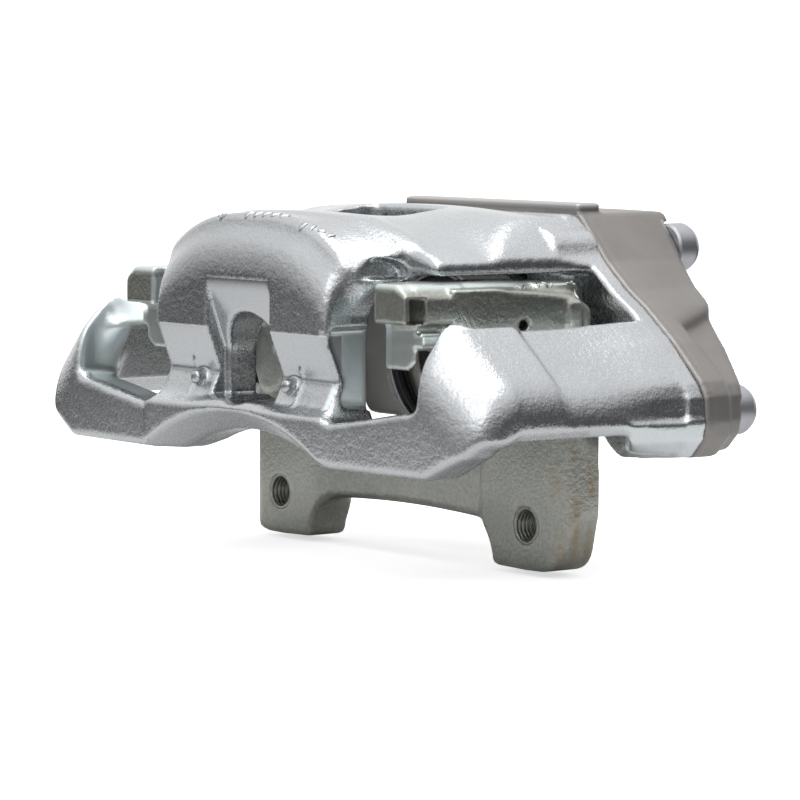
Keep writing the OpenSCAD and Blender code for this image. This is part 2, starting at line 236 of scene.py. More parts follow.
def frame_field(g):
    X, Y, Z = g.X, g.Y, g.Z
    R = np.sqrt(X ** 2 + (Z + DISC_DROP) ** 2)
    front = profile(X, [(0, -111), (60, -111), (124, -108.5), (148, -104.5), (152, -102.7)]) - Y
    slant = (X - RIM_X) * SLANT[0] + (Z - 56) * SLANT[1]
    side = X - RIM_X
    # The corner stands a little proud of the rail, and the rail flares towards the joint
    joint = joint_outline(g)
    flare = step(Y, -42, 9)
    slant = (slant - 2.6 * step(-Y, 53, 59)) * (1 - flare) + joint * flare
    outer = meet(slant, side, 9)
    # Rail: a slanted slab with its top edge square to it
    rail = meet(outer, -((X - 108) * 0.83 + (Z - 77.6) * 0.56), 3)
    rail = meet(rail, rail_top(X, Z), 3)
    rail = meet(rail, polygon(X, Z, [
        (100, 50), (131, 50), (144, 42.5), (148.5, 42.5), (152, 46.5), (160, 60), (160, 100), (100, 100)]), 1)
    rail = meet(rail, span(Y, -93, JOINT_Y + 2), 9)
    # Beam with its raised corners
    beam = polygon(X, Z, rounded([
        (-20, 70), (170, 70), (170, 46), (152, 46), (143, 36.6), (123, 26.8, 7), (-20, 26.8)], 2))
    ledge = profile(X, [(0, 51.4), (14, 51), (24, 49), (33, 46.4), (47, 44.8), (58, 45.1), (70, 46.5), (88, 49.3),
                        (100, 51.4), (112, 53.4)], 5) - 0.06 * (Y + 111)
    beam = meet(beam, Z - ledge, 4.5)
    corner = polygon(X, Z, rounded([
        (96, 36), (96, 42), (112, 44, 5), (118, 51, 5), (118, 76), (118, 100), (170, 100), (170, 46), (152, 46)], 2))
    beam = union(beam, corner, 6)
    wall = meet(round_off(slant, front, 27), round_off(side, front, 16), 7)
    beam = meet(meet(beam, wall, 3.4), Y + 84, 6)
    body = meet(union(rail, beam, 6), wall, 0)
    # One top for crown and bridge, domed across the front
    ease = step(Y, -108, -68)
    rear = step(Y, -46, -12)
    top = (1 - ease) * profile(X, [(0, 128), (12, 128), (22, 127), (33.5, 124.8), (45.6, 120), (53.5, 115),
                                   (60, 109.5), (70, 100)], 4) + ease * (
        (1 - rear) * profile(X, [(0, 127.8), (38, 126.8), (60, 121.5), (72, 117), (85, 112.4), (95, 107)], 6)
        + rear * (130.4 - (X / 72) ** 2 * 2.8))
    roof = (Z - top) * 0.93
    # Fingers with the crown above them
    face = polygon(Y, Z, rounded([
        (-82, 30), (-82, 140), (-107, 140), (-107, 80, 3), (-99.6, 61, 5), (-104.5, 51, 4), (-111, 47),
        (-111, 30)], 1))
    foot = 3.0 * np.clip((56 - Z) / 10, 0, 1) ** 2
    crown = meet(meet(face, roof, 25), X - 60 - foot, 5)
    waist = polygon(Y, Z, rounded([(-103.5, 78), (-95.5, 60), (-99, 51), (-60, 48), (-60, 83), (-103, 83)], 4))
    crown = cut(crown, meet(waist, 57 - X, 1.5), 1.6)
    shoulder = meet((X - 60.5 - np.maximum(Z - 92, 0) * 0.85) * 0.75, span(Y, -99, -66), 8)
    shoulder = meet(meet(shoulder, X - 71, 3), meet(roof, 91 - Z), 3)
    shoulder = meet(shoulder, (X - 60) * 0.75 - (Y + 99) * 0.66, 5)
    crown = union(crown, shoulder, 4)
    # Bridge over the disc
    lip = ((X - 90) * 0.68 + (Z - 109.5) * 0.73) * (1 - flare) + joint * flare
    bridge = meet(roof, lip, 3)
    bridge = meet(bridge, X - 88.5 - 3 * step(Y, -10, 12), 1.5)
    bridge = meet(bridge, 104.6 - Z, 1.5)
    bridge = meet(bridge, (-74 + (X - 66) * 0.1) - Y, 4)
    body = union(body, union(crown, bridge, 5), 3)
    scoop = np.sqrt((Y + 84.5) ** 2 + ((Z - 103) * 1.45) ** 2) - 12.5
    body = cut(body, meet(meet(scoop, 103.2 - Z, 1), 64.8 - X, 1), 1)
    # Inner flange, filleted into rail and bridge
    body = union(body, meet(joint, 8.5 - Y, 1.5), 0.6)
    # Low ears, with a gusset slanted in plan
    ear = meet(joint, polygon(X, Y, rounded([
        (150, -22), (170, -22), (170, 30), (101, 30), (101, 8), (113, 8)], 3)), 2.5)
    ear = meet(ear, Z - 46, 1)
    ear = meet(ear, (29.5 - Z) + 0.16 * (JOINT_Y - Y), 3)
    body = union(body, ear, 4)
    body = union(body, meet(rod(g, *UPPER_BOLT, 8.5), span(Y, -6, JOINT_Y)), 3)
    # Clearance for disc, pads and cylinder
    body = cut(body, meet(meet(R - 178, X - 66, 6), span(Y, -82, 7), 3), 1.5)
    body = cut(body, meet(nose_outline(g, 1), span(Y, -13, 40)), 1)
    body = cut(body, box(g, (-9, 6, 0), (53, 40, 60)), 1)
    body = cut(body, meet(rod(g, *PIN, 11), span(Y, -5, 40)), 1)
    # Arch with its turned relief
    body = cut(body, R - ARCH_R, 1.2)
    body = cut(body, (R - ARCH_R - 8.7 * np.clip((-99 - Y) / 12, -1, 1.1)) * 0.8, 1.2)
    # Recess and window between the fingers
    recess = meet(polygon(Y, Z, rounded([
        (-130, 101.5), (-107.6, 101.5), (-97, 72, 6), (-96.5, 51.5), (-130, 51.5)], 0.5)), X - 22, 1)
    body = cut(body, recess, 1.2)
    hole = union(rod(g, 0, 68, 18.8), box(g, (-9, -300, 51.5), (18.8, 300, 68)))
    body = cut(body, meet(hole, span(Y, -140, -70)), 1.5)
    window = polygon(X, Y, rounded([(-20, -51), (26, -51, 8), (26, -13, 8), (-20, -13)], 0, 6))
    body = cut(body, meet(window, 100 - Z), 1.2)
    # Pegs and the parting rib beside each
    pegs = meet(rod(g, 31.7, 58.4, 3), span(Y, -106.5, -95), 0.8)
    body = union(body, pegs, 1.6)
    rib = np.maximum(box(g, (36.5, -105.5, 50), (37.7, -90, 66)), 0)
    body = union(body, rib, 1.2)
    # Bolt holes and the joint face
    body = cut(body, meet(rod(g, *UPPER_BOLT, 6), -2 - Y))
    body = cut(body, meet(rod(g, *LOWER_BOLT, 6), -14 - Y))
    return meet(body, Y - JOINT_Y)


def frame_machined(x, y, z):
    """1 on the smooth machined faces of the frame, 0 on cast skin."""
    x = np.abs(x)
    slope = step(z, 60.5, 61.5) * step(-z, -80.5, -79.5) * step(x, 22, 23) * (x < 60.5) * (y < -96)
    floor = (x < 21.6) * step(z, 60, 62) * (z < 101.2) * (y < -93)
    r = np.hypot(x, z + DISC_DROP)
    arch = (r < 112) * (y < -86) * (z < 51)
    return np.clip(slope + floor + arch, 0, 1)


def frame_smooth_and_sheen(x, y, z):
    """1 on the as-cast smooth faces: the ribbon round each side opening, the undercuts and the bridge's top; there
    the iron is also lightened to a pale bluish painted reflection.
    """
    x = np.abs(x)
    ribbon = step(rail_top(x, z), -2.4, -1.2) * (x > 103) * (y < 8) * (z > 52)
    rim = np.where((x > 112) & (z > 55), -107.5, -102)
    wall = step(x, 64, 68) * step(-x, -120, -119) * step(z, 46, 48) * (z < 86)
    wall = wall * step(-y, 83, 85) * step(y - rim, 0, 2)
    under = step(-z, -46.4, -45.4) * step(x, 122, 125) * step(y, -46, -42) * (y < 17)
    crease = np.interp(y, (-62, -27, 0, 17), (92, 84, 71, 73))
    crown = step(z, 104, 109) * step(y, -86, -58) * step(crease - x, -1, 2)
    flank = (x > 56) * (x < 58.4) * (z > 50) * (z < 82.5) * (y < -80)
    return np.clip(ribbon + wall + 0.35 * under + 0.12 * crown + flank, 0, 1)


g = Grid(RIM_X + 0.5, (-111.5, JOINT_Y), (26, 131), CELL)
frame_obj = cast("frame_casting", g, frame_field(g), "caliper", "frame",
                 {"machined": frame_machined, "smooth": frame_smooth_and_sheen})


# ---- Carrier ----

def carrier_field(g):
    X, Y, Z = g.X, g.Y, g.Z
    R = np.sqrt(X ** 2 + (Z + DISC_DROP) ** 2)
    lug = polygon(X, Z, rounded([
        (62.5, -18, 4), (84, -18.6, 20), (103, -18, 14), (108.5, 6, 10), (109, 38, 4), (105, 50, 5), (104, 64, 5),
        (100, 76), (100, 86), (71, 86), (71, 60), (66, 40, 10), (62, 20, 10)], 2))
    body = meet(lug, -LUG_T - Y, 2.4)
    body = meet(body, round_off(X - 108.6, -LUG_T - Y, 13))
    body = meet(body, Y, 3)
    body = meet(body, union(Z - 25, Y + 1.2), 0.8)
    # Tie bar between the lugs
    edges = meet((1.8 - X ** 2 / 1400) - Z, Z - 34 + (70 - np.minimum(X, 70)) ** 2 / 700, 2)
    bar = meet(span(Y, -18.3, -5), edges, 4)
    bar = meet(bar, X - 80)
    body = union(body, bar, 16)
    body = meet(body, span(Y, -LUG_T, 0), 1)
    # Seats for the ends of the pads
    seat = polygon(X, Z, rounded([(70, 64, 2), (88, 64, 3), (95, 72, 3), (95, 101), (73, 101), (70, 98)], 1.2))
    body = union(body, meet(seat, span(Y, -24, -2), 1.5), 2.5)
    hook = polygon(X, Z, rounded([(74, 67, 2), (89, 67, 3), (94, 71, 3), (94, 101), (76, 101), (74, 98)], 1.2))
    hook = meet(hook, span(Y, -87, -64), 1.6)
    hook = cut(hook, meet(span(Z, 60, 75.5), -85.6 - Y), 0.8)
    hook = union(hook, box(g, (92, -87, 76.5), (97.5, -76, 83), 1), 1)
    body = union(body, hook, 2)
    body = union(body, meet(rod(g, *PIN, 11), span(Y, -LUG_T + 1, -1.2), 1.5), 4)
    # Arm over the disc, with a broad chamfer along its top
    section = polygon(X, Z, rounded([
        (70, 86), (70, 99.5, 3), (76, 102.8, 3), (91, 102.8, 3), (98, 97, 3), (101, 93, 4), (101, 86, 2)], 1.5))
    stem = polygon(X, Z, rounded([(78, 100), (101, 100), (101, 80, 4), (96, 74, 4), (84, 74, 4), (78, 78)], 1.5))
    section = union(section, np.maximum(stem, -72 - Y))
    top = profile(Y, [(-96, 103.4), (-80, 103.2), (-44, 103.8), (-37, 103.4), (-8, 100.5), (2, 95)], 2)
    arm = meet(section, (Z - top) + 0.42 * np.maximum(X - 88, 0) * step(Y, -60, -40), 2.5)
    arm = meet(arm, meet(X - 98 - 3 * step(Y, -80, -55), -95.4 - Y, 1.5), 1.5)
    arm = cut(arm, box(g, (60, -120, 60), (130, -86.5, 86)), 1)
    arm = cut(arm, meet(X - 77, 86.5 + Y, 1), 1)
    arm = meet(arm, Y - 2, 4)
    body = union(body, arm, 2.5)
    body = union(body, box(g, (96, -13, 76), (102.4, -5, 94), 2), 1.5)
    # Disc slot, ear slots, threads
    body = cut(body, meet(R - 169, span(Y, -64, -24), 3), 2)
    for low, high in ((-84.5, -62), (-26, -8)):
        body = cut(body, box(g, (60, low, 75), (78, high, 87), 1), 0.8)
    body = cut(body, box(g, (87, -94.2, 86.8), (120, -85, 96.6), 0.6), 0.6)
    body = cut(body, box(g, (90, -38, 82.5), (120, -33, 86.5), 2), 1)
    body = cut(body, rod(g, KNUCKLE_X, 0, 7.3))
    body = cut(body, meet(rod(g, *PIN, 5), -19 - Y))
    return body


def carrier_machined_and_top_highlight(x, y, z):
    """1 on the lugs' backs and the pad seats; less on the arms' upper faces, lightened as a painted highlight from
    above, and on their outboard ends.
    """
    x = np.abs(x)
    back = (y > -1.0) * (z < 25)
    seats = (x < 79) * (z > 62) * (z < 98) * (x > 69.5)
    # Painted highlight: the arms' upward faces are lightened as if lit from above; the outboard ends get a lighter
    # tone as well
    top_highlight_and_ends = 0.8 * step(z, 98.5, 101) * (y < -4) + 0.6 * (z < 84) * (z > 64) * (y < -75)
    return np.clip(back + seats + top_highlight_and_ends, 0, 1).astype(F32)


def carrier_stain(x, y, z):
    """How brown the plating is: strongest down the outer edges of the lugs."""
    x = np.abs(x)
    return step(x, 96, 107) * step(-z, -46, -20) * (0.6 + 0.4 * np.sin(y * 0.9 + z * 0.05))


g = Grid(110, (-96.5, 2), (-19, 103.5), CELL * 0.85)
carrier_obj = cast("carrier_casting", g, carrier_field(g), "carrier", "carrier",
                   {"machined": carrier_machined_and_top_highlight, "stain": carrier_stain})


# ---- Cylinder housing ----

def housing_field(g):
    X, Y, Z = g.X, g.Y, g.Z
    outline = meet(joint_outline(g), Z - (130.8 - (X / 72) ** 2 * 2.4), 2)
    back = (Y - profile(Z, [(25, 39.5), (53, 40.5), (61, 43), (71, 47.5), (80, 51.5), (91, 56), (100, 58),
                            (110, 62), (120, 65.5), (131, 68)])) * 0.85
    rim = meet(outline, Y - 29, 2)
    upper = meet(outline, 83.5 + 0.25 * (Y - 30) - Z, 5)
    lower = outline + 1.0 + 2.0 * step(Z, 58, 80)
    body = union(union(rim, upper), lower, 7)
    body = meet(body, back, 4)
    body = cut(body, meet(np.abs(Y - 20.4) - 0.35, -0.5 - outline), 0.6)
    nose = meet(nose_outline(g, 0), Y - 30, 0)
    body = meet(body, JOINT_Y - Y, 0.8)
    nose = meet(nose, 0.6 - Y, 1.2)
    barrel = meet(rod(g, *CYLINDER, 40), span(Y, JOINT_Y, 68), 4)
    body = union(body, barrel, 8)
    for axis, end in ((CYLINDER, 76), (BLEED, 66)):
        body = union(body, meet(rod(g, *axis, 10), span(Y, 30, end), 1.5), 6)
    body = union(body, meet(rod(g, *PIN, 12), span(Y, JOINT_Y, 39), 1.2), 5)
    for axis, seat in ((UPPER_BOLT, UPPER_SEAT), (LOWER_BOLT, LOWER_SEAT)):
        body = cut(body, meet(rod(g, *axis, 11.2), seat - Y), 0.6)
        body = cut(body, rod(g, *axis, 5.3))
    body = union(body, nose)
    body = cut(body, rod(g, *PIN, 9))
    body = cut(body, meet(rod(g, *PIN, 12), 39 - Y))
    # Bore, boot seat, port
    body = cut(body, meet(rod(g, *CYLINDER, 30.05), Y - 58))
    body = cut(body, meet(rod(g, *CYLINDER, 35), Y - 7), 0.8)
    body = cut(body, meet(rod(g, *CYLINDER, 4.46), 62 - Y), 0.8)
    body = cut(body, meet(rod(g, *BLEED, 4.6), 51 - Y), 0.8)
    return body


def housing_slab(g, full):
    """The machined pad along the top, longer on one side."""
    slab = box(g, (-44, JOINT_Y, 122), (72, 30, 132.4), 0.8)
    return union(full, slab, 0.8)


def housing_machined_and_glint(x, y, z):
    """1 on turned and milled faces; the thin ring round the boot seat's edge is a machined edge, lightened fully as a
    painted highlight.
    """
    x = np.abs(x)
    ring = np.hypot(x, z - CYLINDER[1])
    # The ring round the boot seat's edge takes the full lighter tone: its glint is painted in
    nose = 0.25 * (y < 17.2) + 0.75 * (ring > 34.2) * (ring < 36.6) * (y < 2.4)
    slab = (z > 130.5) * (y < 30.5)
    seats = y > 75.5
    for axis, seat in ((UPPER_BOLT, UPPER_SEAT), (LOWER_BOLT, LOWER_SEAT)):
        seats = seats + (np.hypot(x - axis[0], z - axis[1]) < 11.8) * (np.abs(y - seat) < 0.9)
    return np.clip(nose + slab + seats, 0, 1).astype(F32)


g = Grid(RIM_X + 0.5, (0.5, 76), (26, 133), CELL)
housing_obj = cast("cylinder_housing_casting", g, housing_field(g), "caliper", "cylinder_housing",
                   {"machined": housing_machined_and_glint}, housing_slab)


# ---- Turned parts ----

def lathe(name, axis, section, body, node, steps=72):
    """Turns a closed section of (radius, depth) about an axis along Y through (x, z) in millimetres."""
    angle = np.linspace(0, 2 * math.pi, steps, endpoint=False)
    r, depth = np.array(section, F32).T
    x = axis[0] + r[:, None] * np.cos(angle)
    z = axis[1] + r[:, None] * np.sin(angle)
    y = np.broadcast_to(depth[:, None], x.shape)
    points = np.stack([x, y, z], -1).reshape(-1, 3)
    rings, faces = len(section), []
    for i in range(rings):
        j = (i + 1) % rings
        for k in range(steps):
            m = (k + 1) % steps
            faces.append((i * steps + k, j * steps + k, j * steps + m, i * steps + m))
    obj = make_mesh(name, points, faces, body, (node,))
    bm = bmesh.new()
    bm.from_mesh(obj.data)
    bmesh.ops.remove_doubles(bm, verts=bm.verts, dist=1e-6)
    bmesh.ops.recalc_face_normals(bm, faces=bm.faces)
    sharp = [e for e in bm.edges if e.is_manifold and e.calc_face_angle() > math.radians(38)]
    for edge in sharp:
        edge.smooth = False
    bm.to_mesh(obj.data)
    bm.free()
    return obj


def eased(section):
    """A section of (radius, depth), with an arc where a point's third value gives a radius."""
    return rounded(section, 0, 4)


def cut_hexagon(obj, axis, y0, y1, across):
    """Cuts a hexagon socket between two depths."""
    tool_mesh = bpy.data.meshes.new("tool")
    bm = bmesh.new()
    radius = across / 2 / math.cos(math.pi / 6) / 1000
    ends = []
    for y in (y0, y1):
        ends.append([bm.verts.new((axis[0] / 1000 + radius * math.cos(k * math.pi / 3), y / 1000,
                                   axis[1] / 1000 + radius * math.sin(k * math.pi / 3))) for k in range(6)])
    bm.faces.new(ends[0])
    bm.faces.new(ends[1][::-1])
    for k in range(6):
        bm.faces.new((ends[0][k], ends[1][k], ends[1][(k + 1) % 6], ends[0][(k + 1) % 6]))
    bmesh.ops.recalc_face_normals(bm, faces=bm.faces)
    bm.to_mesh(tool_mesh)
    bm.free()
    tool = bpy.data.objects.new("tool", tool_mesh)
    bpy.context.scene.collection.objects.link(tool)
    change = obj.modifiers.new("hexagon", "BOOLEAN")
    change.operation = "DIFFERENCE"
    change.object = tool
    change.solver = "EXACT"
    graph = bpy.context.evaluated_depsgraph_get()
    mesh = bpy.data.meshes.new_from_object(obj.evaluated_get(graph))
    obj.modifiers.clear()
    obj.data = mesh
    bpy.data.objects.remove(tool)


metal_parts, rubber_parts = [], []
for side, mark in ((-1, "left"), (1, "right")):
    for level, (x, z), seat, tip in (("upper", UPPER_BOLT, UPPER_SEAT, 0), ("lower", LOWER_BOLT, LOWER_SEAT, -12)):
        bolt = lathe(f"frame_bolt_{level}_{mark}_turned", (side * x, z), eased([
            (0, tip), (4.6, tip), (5.9, tip + 1.4), (5.9, seat - 0.6), (6.2, seat), (9.4, seat),
            (10.3, seat + 0.9, 0.5), (10.5, seat + 9, 2), (8.6, seat + 12.2, 2.4), (5.4, seat + 13, 0.6),
            (4.9, seat + 12.4), (0, seat + 12.4)]), "caliper", f"frame_bolt_{level}_{mark}")
        cut_hexagon(bolt, (side * x, z), seat + 6, seat + 14, 8)
        metal_parts.append(bolt)
    axis = (side * PIN[0], PIN[1])
    pin = lathe(f"guide_pin_{mark}_turned", axis, eased([
        (0, -19), (4.2, -19), (4.9, -18), (4.9, -1.2), (7.4, -1.2), (8, -0.6), (8, 1.8), (7.5, 2.3),
        (5.5, 2.3), (5.5, 49), (4.6, 50), (0, 50)]), "carrier", f"guide_pin_{mark}")
    cut_hexagon(pin, axis, 42, 51, 6.2)
    metal_parts.append(pin)
    rubber_parts.append(lathe(f"guide_bushing_{mark}_turned", axis, eased([
        (5.8, 12.5), (9.6, 12.5), (10.4, 13.3), (10.4, 16.4), (9.6, 17.1), (8.9, 17.2), (8.9, 38),
        (5.8, 38)]), "caliper", f"guide_bushing_{mark}"))
    rubber_parts.append(lathe(f"guide_cap_{mark}_turned", axis, eased([
        (7, 39.2), (10.4, 39.2), (11, 39.8), (11, 41.4), (10.4, 42), (8.6, 42.1, 0.8), (8.4, 44),
        (8.6, 45), (8.4, 46), (8.6, 47), (8.3, 55.4, 2), (6.8, 57.8, 1), (0, 58), (0, 55.8),
        (7, 55.8)]), "caliper", f"guide_cap_{mark}"))
piston_obj = lathe("piston_turned", CYLINDER, eased([
    (0, 46), (20.5, 46, 1), (22, 44.5, 1), (22, 7.5, 0.6), (23, 6, 0.4), (29.2, 6, 0.4), (30, 6.8, 0.4),
    (30, 10.4, 0.3), (28.5, 11, 0.3), (28.5, 14, 0.3), (30, 14.6, 0.3), (30, 54.5, 1), (28.5, 56, 1),
    (0, 56)]), "piston", "piston", 128)
rubber_parts.append(lathe("piston_seal_turned", CYLINDER, [(30.04, 11.1), (32.9, 11.1), (32.9, 15.4), (30.04, 15.4)],
                          "caliper", "piston_seal", 128))
rubber_parts.append(lathe("dust_boot_folded", CYLINDER, eased([
    (34.9, 6.9), (30.4, 6.9, 0.4), (30.4, 5.4, 0.3), (32.6, 5.4, 0.5), (32.6, 4.2, 0.5), (30.4, 3.8, 0.4),
    (30.4, 1.2, 0.4), (31.4, 0.75, 0.4), (33, 2.2, 0.7), (33.6, 2.6, 0.4), (34.9, 2.6)]), "caliper",
    "dust_boot", 128))
metal_parts.append(lathe("boot_ring_turned", CYLINDER, eased([
    (33.9, 0.9, 0.2), (34.95, 0.9, 0.2), (34.95, 2.5), (33.9, 2.5)]), "caliper", "boot_ring",
    128))
metal_parts.append(lathe("bleed_screw_turned", BLEED, eased([
    (1.2, 58), (4.2, 54), (4.5, 54.6), (4.5, 66.4), (6.3, 66.4), (6.3, 72.6), (3.6, 72.8), (3.6, 74.6, 0.3),
    (2.9, 75.4), (2.9, 77), (3.6, 77.3), (3.5, 79), (2.5, 81), (1.2, 81)]), "bleed_screw",
    "bleed_screw"))
rubber_parts.append(lathe("bleed_cap_turned", BLEED, eased([
    (3.9, 73), (5, 73, 0.3), (5.2, 73.6), (5.2, 82, 1), (4, 83.5, 1), (3, 84), (3, 85.3, 0.4), (2.4, 85.5), (0, 85.5),
    (0, 82), (3.9, 82)]), "bleed_cap", "bleed_cap"))


def thread(name, x):
    """The thread that lines a knuckle hole, closed by a sleeve behind the hole's wall."""
    around, steps, low, high, pitch = 48, 5, -20.6, -1.0, 2.0
    core_r, height, sleeve_r = 6.3, 0.9, 7.9
    depth = np.arange(low, high, pitch / steps)
    angle = np.arange(around) * (2 * math.pi / around)
    phase = (depth[:, None] / pitch + angle[None, :] / (2 * math.pi)) % 1.0
    r = core_r + height * np.abs(2 * phase - 1)
    r = np.concatenate([r, np.full((2, around), sleeve_r)])
    depth = np.concatenate([depth, [high, low - 0.1]])
    grid = np.stack([x + r * np.cos(angle), np.broadcast_to(depth[:, None], r.shape), r * np.sin(angle)], -1)
    rows, faces = len(depth), []
    for i in range(rows):
        j = (i + 1) % rows
        for k in range(around):
            m = (k + 1) % around
            faces.append((i * around + k, i * around + m, j * around + m, j * around + k))
    return make_mesh(name, grid.reshape(-1, 3), faces, "carrier", ())


threads = [thread("knuckle_thread_left", -KNUCKLE_X), thread("knuckle_thread_right", KNUCKLE_X)]


def cast_marks(name, base, marks, body):
    """Small raised bars on a casting's skin: (x, y, length, angle in degrees, width), dropped on it from above."""
    mesh = base.data
    tree = bvhtree.BVHTree.FromPolygons([v.co for v in mesh.vertices], [p.vertices for p in mesh.polygons])
    points, faces = [], []
    rows, columns = 6, 4
    raised, sunk = 0.55, -0.4
    for x, y, length, turn, width in marks:
        along = np.array((math.cos(math.radians(turn)), math.sin(math.radians(turn))))
        across = np.array((-along[1], along[0]))
        first = len(points)
        for i in range(rows + 1):
            t = i / rows * 2 - 1
            for j in range(columns + 1):
                w = (j / columns * 2 - 1) * width / 2 * math.sqrt(max(1 - t ** 6, 0.0))
                place = np.array((x, y)) + along * t * length / 2 + across * w
                hit = tree.ray_cast((place[0] / 1000, place[1] / 1000, 0.3), (0, 0, -1))
                rise = raised if 0 < j < columns and 0 < i < rows else sunk
                points.append(np.array(hit[0]) * 1000 + np.array(hit[1]) * rise)
        for i in range(rows):
            for j in range(columns):
                a = first + i * (columns + 1) + j
                faces.append((a, a + columns + 1, a + columns + 2, a + 1))
    obj = make_mesh(name, points, faces, body, ())
    thick = obj.modifiers.new("depth", "SOLIDIFY")
    thick.thickness = 0.0008
    thick.offset = -1
    return obj


marks = [(-4 + 5.6 * k, -97.0 + 0.3 * k, 6.4, 66, 2.8) for k in range(5)]
marks += [(-21, -98, 5, 40, 2.0), (-25, -97, 3.6, 120, 2.0)]
marks += [(34 + 4.6 * k, -98.0 + 1.2 * k, 4.8, (60, 110, 40, 80)[k], 2.6) for k in range(4)]
marks_obj = cast_marks("frame_cast_marks", frame_obj, marks, "caliper")
arm_marks = [(94.0, -34 + 3.6 * k, 4.2, (20, 150, 10, 160, 30, 140)[k], 1.3) for k in range(6)] + [
    (94.5, -6.5, 4.5, 90, 1.3), (92.5, -4.2, 3.2, 0, 1.3), (96.5, -4.2, 3.2, 0, 1.3)]
arm_marks_obj = cast_marks("carrier_cast_marks", carrier_obj, arm_marks, "carrier")


# ---- Stage ----

def link(obj):
    bpy.context.scene.collection.objects.link(obj)
    return obj


def look_along(obj, direction, up):
    """Points an object's -Z along a direction, with its Y as near as can be to up."""
    back = -np.array(direction) / np.linalg.norm(direction)
    right = np.cross(up, back)
    right /= np.linalg.norm(right)
    over = np.cross(back, right)
    for row in range(3):
        obj.matrix_world[row][:3] = (right[row], over[row], back[row])


# The camera was fitted to mirrored pairs of features
camera = link(bpy.data.objects.new("camera", bpy.data.cameras.new("camera")))
AZ, EL, ROLL = math.radians(52.04), math.radians(3.92), math.radians(0.27)
ahead = np.array((-math.sin(AZ) * math.cos(EL), math.cos(AZ) * math.cos(EL), -math.sin(EL)))
right = np.array((math.cos(AZ), math.sin(AZ), 0))
over = np.cross(right, ahead)
right, over = (right * math.cos(ROLL) + over * math.sin(ROLL), over * math.cos(ROLL) - right * math.sin(ROLL))
camera.data.lens = 183.66
camera.data.sensor_width = 36
camera.data.clip_end = 100
look_along(camera, ahead + right * 0.0088941 - over * 0.0128559, over)
camera.location = (1.36613, -1.10581, 0.18873)
bpy.context.scene.camera = camera
bpy.context.scene.view_settings.view_transform = "Standard"

FLOOR_Z, FLOOR_HALF = -0.0205, 30
floor_mesh = bpy.data.meshes.new("floor")
floor_mesh.from_pydata([(x * FLOOR_HALF, y * FLOOR_HALF, FLOOR_Z) for x, y in ((-1, -1), (1, -1), (1, 1), (-1, 1))],
                       [], [(0, 1, 2, 3)])
floor = link(bpy.data.objects.new("floor", floor_mesh))


def area_light(name, place, aim, size, power):
    """A lamp of a given size in metres, at a place and turned to an aim."""
    data = bpy.data.lights.new(name, "AREA")
    data.shape = "RECTANGLE"
    data.size, data.size_y = size
    data.energy = power
    light = link(bpy.data.objects.new(name, data))
    look_along(light, np.array(aim) - np.array(place), (0, 0, 1))
    light.location = place


area_light("top", (0.1, 0.0, 1.5), (0.05, -0.03, 0.05), (1.0, 0.8), 8.5)
area_light("front", (0.75, -0.95, 1.15), (0, -0.08, 0.06), (0.9, 0.9), 3.4)


# ---- Materials ----

class Nodes:
    """A node tree with short calls for making and joining nodes."""

    def __init__(self, tree):
        self.tree = tree
        tree.nodes.clear()

    def add(self, kind, sockets=None, **settings):
        node = self.tree.nodes.new(kind)
        for key, value in settings.items():
            setattr(node, key, value)
        for key, value in (sockets or {}).items():
            if isinstance(value, bpy.types.NodeSocket):
                self.tree.links.new(value, node.inputs[key])
            else:
                node.inputs[key].default_value = value
        return node

    def noise(self, place, scale, detail=2.0, roughness=0.5):
        return self.add("ShaderNodeTexNoise", {"Vector": place, "Scale": scale, "Detail": detail,
                                               "Roughness": roughness}).outputs["Fac"]

    def math(self, operation, a, b=0.0):
        return self.add("ShaderNodeMath", {0: a, 1: b}, operation=operation).outputs[0]

    def remap(self, value, low, high, out_low, out_high):
        return self.add("ShaderNodeMapRange", {"Value": value, "From Min": low, "From Max": high,
                                               "To Min": out_low, "To Max": out_high},
                        interpolation_type="SMOOTHSTEP").outputs[0]

    def blend(self, fac, a, b):
        return self.add("ShaderNodeMix", {"Factor": fac, 6: a, 7: b}, data_type="RGBA").outputs[2]


def tree_of(name):
    material = bpy.data.materials.new(name)
    material.use_nodes = True
    return material, Nodes(material.node_tree)


def rgb(*values):
    return (*values, 1.0)


world = bpy.data.worlds.new("studio")
bpy.context.scene.world = world
world.use_nodes = True
n = Nodes(world.node_tree)
toward = n.add("ShaderNodeTexCoord").outputs["Generated"]


def facing(tree, direction):
    """Cosine of the angle between a direction and the one looked towards."""
    return tree.add("ShaderNodeVectorMath", {0: toward, 1: direction}, operation="DOT_PRODUCT").outputs["Value"]


# The sky is bright above a horizon that is darker to one side; the camera itself sees plain white
aside = facing(n, (0.82, 0.57, 0.0))
horizon = n.math("SUBTRACT", n.remap(facing(n, (-0.76, 0.65, 0.0)), 0.35, 0.9, 0.40, 1.25),
                 n.remap(aside, 0.2, 0.8, 0.0, 0.30))
low_edge = n.remap(aside, 0.0, 0.8, 0.0, 0.25)
height = n.math("SUBTRACT", facing(n, (0.0, 0.0, 1.0)), low_edge)
shade = n.math("ADD", n.math("MULTIPLY", horizon, n.remap(height, 0.02, 0.5, 1.0, 0.0)),
               n.remap(height, 0.02, 0.55, 0.0, 1.1))
seen = n.add("ShaderNodeLightPath").outputs["Is Camera Ray"]
sky = n.add("ShaderNodeBackground", {"Color": rgb(1, 1, 1), "Strength": n.math("MAXIMUM", shade, seen)})
n.add("ShaderNodeOutputWorld", {"Surface": sky.outputs[0]})

